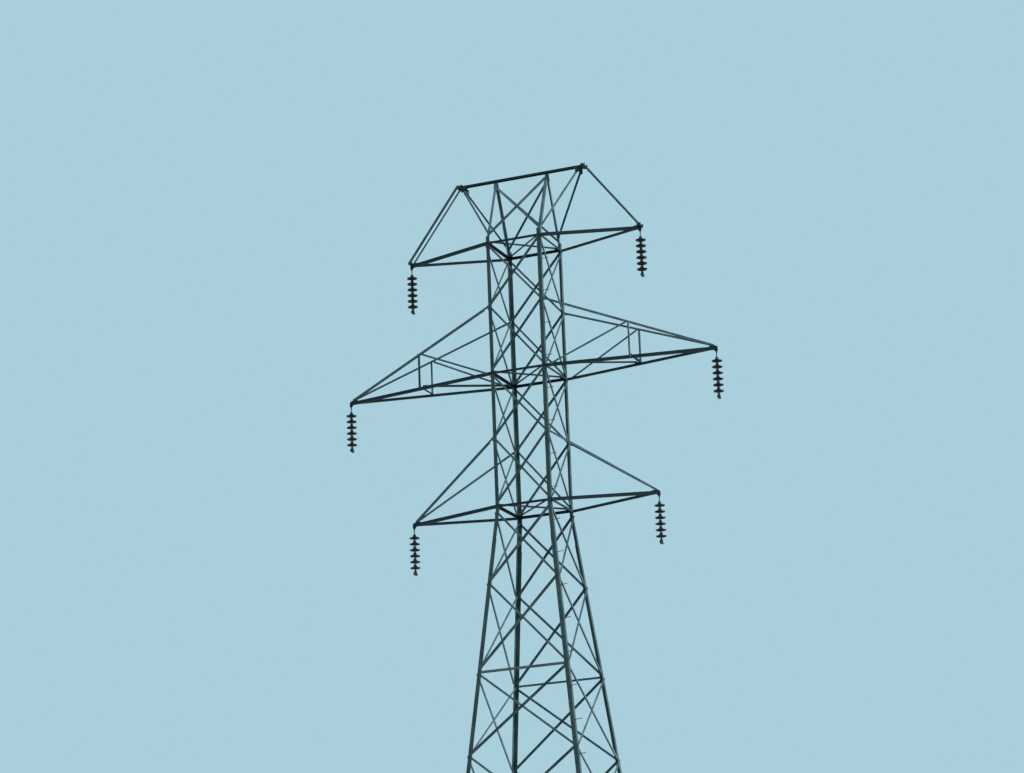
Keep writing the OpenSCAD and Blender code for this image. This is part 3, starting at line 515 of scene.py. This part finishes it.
def fastenUpperFace(number):
    group = "boltsUpper" + sideNames[number]
    coat, t, legT = tower["coat"], tower["braceT"], tower["legT"]
    carriesArms = number % 2 == 0
    gap = 2 * coat + tower["chordT"] if carriesArms else coat
    x = halfBody - gauge
    for arm in tower["arms"][:2]:
        face = towerFace(number, arm)
        tie, step = tower["tieRise"], tower["armStep"]
        lapT = coat + tower["tieT"] if carriesArms else 0
        fastenPair(group, "m12", face, (x, armOff), (x, tie - tower["nodeGap"]), t, gap, (0, lapT))
        fastenPair(group, "m12", face, (x, tie + tower["nodeGap"]), (x, step - armOff), t, gap, (lapT, 0))
        if carriesArms:
            # packing rings fill the gap where no lap plate lies under an outer brace
            for ringX, z in ((-x, armOff), (x, step - armOff)):
                at = face @ Vector((ringX, 0, z))
                putCopy(group, packingModel, at, face.to_3x3() @ Vector(outwards))
    for arm in tower["arms"]:
        face = towerFace(number, arm)
        lapT = coat + tower["chordT"] if carriesArms else 0
        for side in (-1, 1):
            for inwards in rootBolts["in"]:
                fasten(group, "m16", (side * (halfBody - inwards), -lapT, -rootBolts["drop"]), outwards,
                       lapT + legT + coat + tower["frameT"], face)


for number in range(len(sideNames)):
    fastenLowerFace(number)
    fastenSplices(number)
    fastenUpperFace(number)
print("body bolts placed")


# bolts of the plan diagonals on the frames' corner plates: in from the diagonal's end, and beside its middle
planBolts = {"endGap": 4, "in": (14, 42), "aside": 6}


def fastenPlanFrames():
    reach = (inner - tower["frameB"] - planBolts["endGap"]) * math.sqrt(2)
    for level in tower["arms"]:
        top = level + tower["frameB"] / 2 + tower["braceT"]
        for turn in range(4):
            around = Matrix.Rotation(math.pi / 4 + turn * math.pi / 2, 4, "Z")
            for inwards in planBolts["in"]:
                at = around @ Vector((reach - inwards, -planBolts["aside"], top))
                fasten("boltsPlanFrames", "m12", at, (0, 0, 1), tower["braceT"] + tower["frameT"])
        fasten("boltsPlanFrames", "m12", (0, 0, top), (0, 0, 1), tower["braceT"])


def fastenFeet():
    centre = halfBase - tower["lowLegB"] / 3    # close to the centroid of the leg's angle
    half = tower["anchorPitch"] // 2
    for sx in (-1, 1):
        for sy in (-1, 1):
            for dx in (-half, half):
                for dy in (-half, half):
                    at = Vector((sx * centre + dx, sy * centre + dy, tower["footT"]))
                    putCopy("anchorNuts", boltModels["m27"][1], at, (0, 0, 1))


fastenPlanFrames()
fastenFeet()

# the arms' chords run from their bend at the leg to the tip plate
chord = {"bendOut": 15, "endIn": 12, "tipSunk": 1}
armFaceY = -halfBody - tower["coat"]
bendX, tipY = halfBody + chord["bendOut"], chord["tipSunk"] - tower["tipT"] / 2


# side 1 is the right arm, -1 the left one, which is the right one turned; sign -1 mirrors front to back
def armFrame(side, sign, level):
    turn = Matrix.Rotation(0 if side > 0 else math.pi, 4, "Z")
    flip = Matrix.Diagonal((1, sign, 1, 1))
    return Matrix.Translation((0, 0, level)) @ turn @ flip


# y of the front chord's inner face
def frontY(reach, x):
    return armFaceY + (tipY - armFaceY) * (x - bendX) / (reach - chord["endIn"] - bendX)


# bolts at an arm's tip, in from its hanging hole, and the end of its upper members
tipBolts = {"chordIn": (105, 150), "chordZ": 2, "tieIn": (80, 125), "tieEndIn": 60, "tieEndZ": 66}
# members of the middle arms: the post, and the diagonal from its heel at the chord to its head at the post
web = {"postZ": 2, "heel": (100, 6), "head": (62, 8), "heelBolt": 18, "headBolt": (57, 1)}
# the middle arms' plan members on their plates, and the hangers' bolts on the upper arms' brackets
armPlan = {
    "plateDrop": 8, "plateT": 6, "in": 32, "shift": 4,
    "nearBolt": (20, 10), "farBolt": (20, 10), "postBolt": (4, 2),
}
hanger = {"rise": 22}


def fastenArm(name, index, side):
    reach, level = tower["reach"][index], tower["arms"][index]
    group = "bolts" + name
    slant = math.atan2(tipY - armFaceY, reach - chord["endIn"] - bendX)
    out = Vector((math.sin(slant), -math.cos(slant), 0))
    fall = (tower["tieRise"] - tipBolts["tieEndZ"]) / (reach - tipBolts["tieEndIn"] - bendX)
    for sign in (1, -1):
        place = armFrame(side, sign, level)

        def fastenFace(thread, x, z, skin):
            at = Vector((x, frontY(reach, x), z)) + out * skin
            fasten(group, thread, at, out, skin, place)

        for inwards in tipBolts["chordIn"]:
            fastenFace("m16", reach - inwards, tipBolts["chordZ"], tower["chordT"])
        if levelNames[index] != "upper":
            for inwards in tipBolts["tieIn"]:
                x = reach - inwards
                fastenFace("m12", x, tower["tieRise"] - fall * (x - bendX), tower["tieT"])
        if levelNames[index] == "middle":
            fastenWeb(fastenFace, tower["tieRise"] - fall * (tower["postX"] - bendX))
    if levelNames[index] == "middle":
        fastenArmPlan(group, reach, armFrame(side, 1, level))
    if levelNames[index] == "upper":
        hang = tower["hangerGap"] / 2
        grip = tower["coat"] + tower["braceT"] + tower["tipT"]
        for sign in (1, -1):
            place = armFrame(side, sign, level)
            for x, z in ((reach, tower["chordB"] / 2 + hanger["rise"]),
                         (tower["barLength"] / 2, tower["barTop"] - tower["barH"] / 2 - level)):
                fasten(group, "m12", (x, -hang - tower["coat"] - tower["braceT"], z), outwards, grip, place)


# the post's two bolts and the diagonal's two, where headZ is the upper member's height at the post
def fastenWeb(fastenFace, headZ):
    skin = tower["chordT"] + tower["coat"] + tower["webT"]
    postX, heelX, heelZ = tower["postX"], halfBody + web["heel"][0], web["heel"][1]
    rise = (headZ - web["head"][1] - heelZ) / (postX - web["head"][0] - heelX)
    fastenFace("m12", postX, web["postZ"], skin)
    fastenFace("m12", postX, headZ, skin)
    fastenFace("m12", heelX + web["heelBolt"], heelZ + web["heelBolt"] * rise, skin)
    fastenFace("m12", postX - web["headBolt"][0], headZ - web["headBolt"][1], skin)


def fastenArmPlan(group, reach, place):
    plateZ = tower["chordB"] / 2 - armPlan["plateDrop"]
    nearX, farX = halfBody + web["heel"][0], tower["postX"] - web["head"][0]
    nearY, farY = frontY(reach, nearX) + armPlan["in"], frontY(reach, farX) + armPlan["in"]
    nearBolt, farBolt, postBolt = armPlan["nearBolt"], armPlan["farBolt"], armPlan["postBolt"]
    postX = tower["postX"] + postBolt[0]
    for x, y in ((nearX + nearBolt[0], nearY + nearBolt[1]), (farX - farBolt[0], -farY - farBolt[1]),
                 (postX, farY + postBolt[1]), (postX, -farY - postBolt[1])):
        at = (x - armPlan["shift"], y, plateZ + armPlan["plateT"] + tower["webT"])
        fasten(group, "m12", at, (0, 0, 1), tower["webT"] + armPlan["plateT"], place)


for side, sideName in ((-1, "Left"), (1, "Right")):
    for index, levelName in enumerate(levelNames):
        fastenArm(levelName.capitalize() + "Arm" + sideName, index, side)
print("arm bolts placed")

# the peak's legs: foot above the arms' level, ends of its crossed braces, bolts as [y, rise above the foot]
# inside the body legs, and as [y, drop below the bar] on the ridge plates
peak = {
    "footRise": 40, "braceEnds": (165, 170), "footBolts": ((642, 32), (630, 76)),
    "ridgeBolts": ((20, 52), (36, 118)),
}
# the bar's struts: height of their feet above the arms' level, bolts there, the kink beside the leg, and
# their ends on the wings of the bar's plate, with the bolts at these shares of their length
barStruts = {
    "footRise": 320, "footBolts": ((-18, -22), (-8, 22)), "kinkX": 20, "kinkY": 12,
    "endIn": 118, "endDrop": 45, "wingT": 6, "wingShares": (0.925, 0.955),
}
footZ = tower["arms"][2] + tower["frameB"] / 2 + peak["footRise"]
topZ = tower["barTop"] - tower["barH"]
lean = math.atan((inner - tower["ridgeY"]) / (topZ - footZ))


def fastenPeak():
    length = (topZ - footZ) / math.cos(lean)
    t, coat, legT = tower["braceT"], tower["coat"], tower["legT"]
    x = inner - tower["peakLegT"] - tower["braceB"] / 2 - tower["lap"] - tower["clear"]
    thin = legT - tower["peakLegT"]
    low, high = peak["braceEnds"]
    for number in (0, 2):
        face = (Matrix.Rotation(number * math.pi / 2, 4, "Z") @ Matrix.Translation((0, -inner, footZ))
                @ Matrix.Rotation(-lean, 4, "X") @ Matrix.Translation((0, -thin, 0)))
        fastenPair("boltsPeak", "m12", face, (x, low), (x, length - high), t, coat - thin, (-thin, -thin))
    for sx in (-1, 1):
        for sy in (-1, 1):
            for y, rise in peak["footBolts"]:
                fasten("boltsPeak", "m16", (sx * halfBody, sy * y, footZ + rise), (sx, 0, 0),
                       legT + coat + tower["peakLegT"])
            for y, drop in peak["ridgeBolts"]:
                fasten("boltsPeak", "m12", (sx * (inner + coat + tower["tipT"]), sy * y, topZ - drop),
                       (sx, 0, 0), coat + tower["tipT"] + tower["peakLegT"])
            fastenBarStrut(sx, sy)


def fastenBarStrut(sx, sy):
    t, coat = tower["braceT"], tower["coat"]
    strutZ = tower["arms"][2] + barStruts["footRise"]
    strutY = -inner + (strutZ - footZ) * math.tan(lean) + tower["peakLegB"] / 2
    for dy, dz in barStruts["footBolts"]:
        fasten("boltsPeak", "m12", (sx * (inner + coat + t), -sy * (strutY + dy), strutZ + dz), (sx, 0, 0),
               coat + t + tower["peakLegT"])
    start = Vector((inner + coat, strutY + barStruts["kinkY"], 0))
    end = Vector((tower["barLength"] / 2 - barStruts["endIn"], -tower["hangerGap"] / 2, 0))
    run = end - start
    out = Vector((run.y, -run.x, 0)).normalized()
    kinkX = inner + barStruts["kinkX"]
    for share in barStruts["wingShares"]:
        at = start + run * share + out * (t + coat + barStruts["wingT"])
        at.z = strutZ + (topZ - barStruts["endDrop"] - strutZ) * (at.x - kinkX) / (end.x - kinkX)
        fasten("boltsPeak", "m12", (sx * at.x, -sy * at.y, at.z), (sx * out.x, -sy * out.y, 0),
               t + coat + barStruts["wingT"])


fastenPeak()
print("peak bolts placed")

# step bolts of the climbing leg at the front right, alternately on its two flanges
steps = {
    "first": 2500, "last": 24100, "pitch": 400, "line": 28, "length": 165, "diameter": 16,
    "hexRadius": 13.9, "head": 9, "collar": 13,
    "room": 62, "lift": 70,    # a step this near a joint of the leg is put this much higher
}


def placeSteps():
    length, head = steps["length"], steps["head"]
    rod = joinPieces([
        addRound(sides["rod"], steps["diameter"] / 2, 0, length),
        addRound(sides["hex"], steps["hexRadius"], length - head, head, hexChamfer),
        addRound(sides["hex"], steps["hexRadius"], 0, steps["collar"], hexChamfer),
    ], "stepRod")
    busy = tower["levels"] + tower["arms"] + [arm + tower["tieRise"] for arm in tower["arms"]]
    busy.extend(splices["heights"])
    z, number = steps["first"], 0
    while z <= steps["last"]:
        at = z + (steps["lift"] if any(abs(z - joint) < steps["room"] for joint in busy) else 0)
        face = towerFace(number, at)
        side = 1 if number == 0 else -1
        point = face @ Vector((side * (halfWidth(at) - steps["line"]), 0, 0))
        normal = face.to_3x3() @ Vector(outwards)
        putCopy("stepBolts", rod, point, normal)
        putCopy("stepBolts", boltModels["m16"][1], point - normal * tower["legT"], -normal)
        z += steps["pitch"]
        number = 1 - number
    bpy.data.objects.remove(rod)


placeSteps()
print("step bolts placed")

# small parts of one insulator string, below its hanging hole at the origin
string = {
    "discs": 6, "pitch": 146, "firstRim": -253, "cheek": 19, "clampAxis": -1131, "trunnionEnd": 38,
    "shacklePin": 20,              # split pin outside the shackle's cheek
    "keeperY": -8, "keeperZ": 80,  # split pin of the socket, from the disc's rim
    "endPinIn": 2,                 # split pins in from the ends of the clamp's trunnions
}
# length and wire in mm, spread in radians, and the rest in wires; a ring's sides are those around it, and
# those of its section
splitPinLook = {
    "length": 34, "wire": 1.7, "eye": 3.2, "eyeRise": 3, "legApart": 0.8, "legWire": 0.9, "spread": 0.05,
    "eyeSides": (12, 6), "legSides": 6,
}
uBoltLook = {"y": 40, "radius": 14, "wire": 4.5, "legs": 52, "rise": 8, "nutDrop": 25.5, "sides": (16, 8)}
groutLook = {
    "collarRadius": 48.2, "collarWire": 2.1, "collarZ": 25.4, "collarSides": (40, 8),
    "coneLow": 13, "coneHigh": 23.4, "coneHeight": 5, "coneZ": -14.5, "coneSides": 28,
}
wireClamp = {"in": 70, "half": 22, "boltY": 26, "boltZ": 12}


# a ring whose section is a circle, around z at a height
def addRing(radius, wire, z, around, section):
    bpy.ops.mesh.primitive_torus_add(major_segments=around, minor_segments=section, major_radius=radius * mm,
                                     minor_radius=wire * mm, location=(0, 0, z * mm))
    piece = bpy.context.object
    bpy.ops.object.transform_apply(location=True, rotation=True, scale=True)
    return piece


# split pin with its eye upwards, standing through the origin along z
def modelSplitPin():
    wire, length = splitPinLook["wire"], splitPinLook["length"]
    eye = addRing(splitPinLook["eye"] * wire, wire, 0, *splitPinLook["eyeSides"])
    eye.matrix_world = (Matrix.Translation((0, 0, (length / 2 + splitPinLook["eyeRise"] * wire) * mm))
                        @ Matrix.Rotation(math.pi / 2, 4, "X"))
    legs = []
    for side in (-1, 1):
        leg = addRound(splitPinLook["legSides"], wire * splitPinLook["legWire"], -length / 2, length)
        leg.matrix_world = (Matrix.Translation((side * splitPinLook["legApart"] * wire * mm, 0, 0))
                            @ Matrix.Rotation(side * splitPinLook["spread"], 4, "Y"))
        legs.append(leg)
    return joinPieces([eye] + legs, "splitPin")


# U-bolt over the clamp's keeper: half a ring with its two ends drawn down
def modelUBolt():
    ring = addRing(uBoltLook["radius"], uBoltLook["wire"], 0, *uBoltLook["sides"])
    ring.matrix_world = Matrix.Rotation(math.pi / 2, 4, "X")
    ring = joinPieces([ring], "uBolt")
    pickFaces(ring, lambda face: face.center.z < 0)
    bpy.ops.mesh.delete(type="FACE")
    bpy.ops.mesh.select_mode(type="EDGE")
    bpy.ops.mesh.select_all(action="DESELECT")
    bpy.ops.mesh.select_non_manifold()
    bpy.ops.mesh.extrude_edges_move(TRANSFORM_OT_translate={"value": (0, 0, -uBoltLook["legs"] * mm)})
    bpy.ops.mesh.edge_face_add()
    bpy.ops.mesh.select_all(action="SELECT")
    bpy.ops.mesh.normals_make_consistent(inside=False)
    bpy.ops.object.mode_set(mode="OBJECT")
    return ring


# grout of one disc: a fillet under the cap's edge and a low cone around the pin
def modelGrout():
    look = groutLook
    collar = addRing(look["collarRadius"], look["collarWire"], look["collarZ"], *look["collarSides"])
    bpy.ops.mesh.primitive_cone_add(
        vertices=look["coneSides"], radius1=look["coneLow"] * mm, radius2=look["coneHigh"] * mm,
        depth=look["coneHeight"] * mm, location=(0, 0, look["coneZ"] * mm))
    cone = bpy.context.object
    return joinPieces([collar, cone], "groutModel")


# pins, bolts and grout of one string; models are its split pin, U-bolt and grout
def dressString(name, hole, models):
    splitPin, uBolt, groutModel = models
    pins, cement, cheek = name + "Pins", name + "Grout", string["cheek"]
    fasten(pins, "m20", hole + Vector((0, -cheek, 0)), outwards, 2 * cheek)
    putCopy(pins, splitPin, hole + Vector((0, cheek + string["shacklePin"], 0)), (0, 0, 1), 0)
    for disc in range(string["discs"]):
        rim = hole + Vector((0, 0, string["firstRim"] - disc * string["pitch"]))
        putCopy(cement, groutModel, rim, (0, 0, 1), 0)
        if disc:
            putCopy(pins, splitPin, rim + Vector((0, string["keeperY"], string["keeperZ"])), (0, -1, 0), 0)
    axis = hole + Vector((0, 0, string["clampAxis"]))
    for y in (-uBoltLook["y"], uBoltLook["y"]):
        putCopy(pins, uBolt, axis + Vector((0, y, uBoltLook["rise"])), (0, 0, 1), 0)
        for x in (-uBoltLook["radius"], uBoltLook["radius"]):
            putCopy(pins, boltModels["m10"][1], axis + Vector((x, y, -uBoltLook["nutDrop"])), (0, 0, -1))
    end = string["trunnionEnd"] - string["endPinIn"]
    for x in (-end, end):
        putCopy(pins, splitPin, axis + Vector((x, 0, 0)), (0, 0, 1), math.pi / 2)


def dressStrings():
    models = modelSplitPin(), modelUBolt(), modelGrout()
    for index, levelName in enumerate(levelNames):
        for side, sideName in ((-1, "Left"), (1, "Right")):
            holeZ = tower["arms"][index] - tower["chordB"] / 2 - tower["holeDrop"]
            hole = Vector((side * tower["reach"][index], 0, holeZ))
            dressString(levelName + sideName, hole, models)
            # wire clamps on the bar need theirs only once, with the upper strings
            if levelName == "upper":
                x = side * (tower["barLength"] / 2 - wireClamp["in"]) - wireClamp["half"]
                for y in (-wireClamp["boltY"], wireClamp["boltY"]):
                    fasten("wireClampBolts", "m12", (x, y, tower["barTop"] + wireClamp["boltZ"]), (-1, 0, 0),
                           2 * wireClamp["half"])
    for model in models:
        bpy.data.objects.remove(model)


dressStrings()
# the models themselves aren't kept
for head, nut in boltModels.values():
    bpy.data.objects.remove(head)
    bpy.data.objects.remove(nut)
bpy.data.objects.remove(packingModel)
print("string fittings placed")

# one piece for each group, on the body that carries it
for group, parts in groups.items():
    piece = joinPieces(parts, group)
    finish, body = boltZinc, "tower"
    if group.endswith(("Grout", "Pins")):
        finish = grout if group.endswith("Grout") else fittingZinc
        level = next(name for name in levelNames if group.startswith(name))
        body = level + ("_left_string" if "Left" in group else "_right_string")
    piece.data.materials.clear()
    piece.data.materials.append(finish)
    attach(piece, body)
print("pieces joined:", len(groups))

# soft studio light: a wide lamp on the right, and a pale sky that fills the shade
light = {
    "sunStrength": 3.1, "sunAngle": 30, "height": 36, "turn": 92,    # angles in degrees
    "fill": 0.34, "fillColour": "#e4eef2", "sky": "#aacfdc",
}


# 1 for rays that show the background as it is: from the camera, and through or off the object
def seenRays(tree):
    rays = addNode(tree, "ShaderNodeLightPath").outputs
    seen = rays["Is Camera Ray"]
    for kind in ("Is Glossy Ray", "Is Transmission Ray"):
        seen = addNode(tree, "ShaderNodeMath", (seen, rays[kind]), {"operation": "MAXIMUM"}).outputs[0]
    return seen


def makeLight():
    bpy.ops.object.light_add(type="SUN")
    sun = bpy.context.object
    sun.name = "softSun"
    sun.data.energy = light["sunStrength"]
    sun.data.angle = math.radians(light["sunAngle"])
    sun.rotation_euler = (math.radians(90 - light["height"]), 0, math.radians(light["turn"]))
    world = bpy.data.worlds.new("paleSky")
    bpy.context.scene.world = world
    world.use_nodes = True
    tree = world.node_tree
    fill = tree.nodes["Background"]
    setInputs(tree, fill, {"Color": light["fillColour"], "Strength": light["fill"]})
    backdrop = addNode(tree, "ShaderNodeBackground", {"Color": light["sky"], "Strength": 1})
    mixed = addNode(tree, "ShaderNodeMixShader", (seenRays(tree), fill.outputs[0], backdrop.outputs[0]))
    setInputs(tree, tree.nodes["World Output"], {"Surface": mixed.outputs["Shader"]})


# trowelled pale concrete: pale to look at, yet it throws only a little light up under the arms
def makeFloor():
    look = {"size": 300, "pale": "#c9ccc8", "dark": "#c5c8c4", "bounce": "#3a403e", "cloudMm": 2500,
            "cloudRange": (0.35, 0.65), "rough": 0.85, "gloss": 0.15}
    bpy.ops.mesh.primitive_plane_add(size=look["size"])
    floor = bpy.context.object
    floor.name = "paleFloor"
    material, tree, shader = newMaterial("trowelledPaleConcrete")
    place = addNode(tree, "ShaderNodeTexCoord").outputs["Object"]
    clouds = addNode(tree, "ShaderNodeTexNoise", {
        "Vector": place, "Scale": 1 / (look["cloudMm"] * mm), "Detail": 4}).outputs["Fac"]
    clouds = addNode(tree, "ShaderNodeMapRange", (clouds, *look["cloudRange"]), soft).outputs["Result"]
    pale = addNode(tree, "ShaderNodeMix", {0: clouds, 6: look["dark"], 7: look["pale"]}, colours).outputs[2]
    seen = seenRays(tree)
    colour = addNode(tree, "ShaderNodeMix", {0: seen, 6: look["bounce"], 7: pale}, colours).outputs[2]
    setInputs(tree, shader, {
        "Base Color": colour, "Roughness": look["rough"], "Specular IOR Level": look["gloss"]})
    floor.data.materials.append(material)


makeLight()
makeFloor()
print("light and floor made")
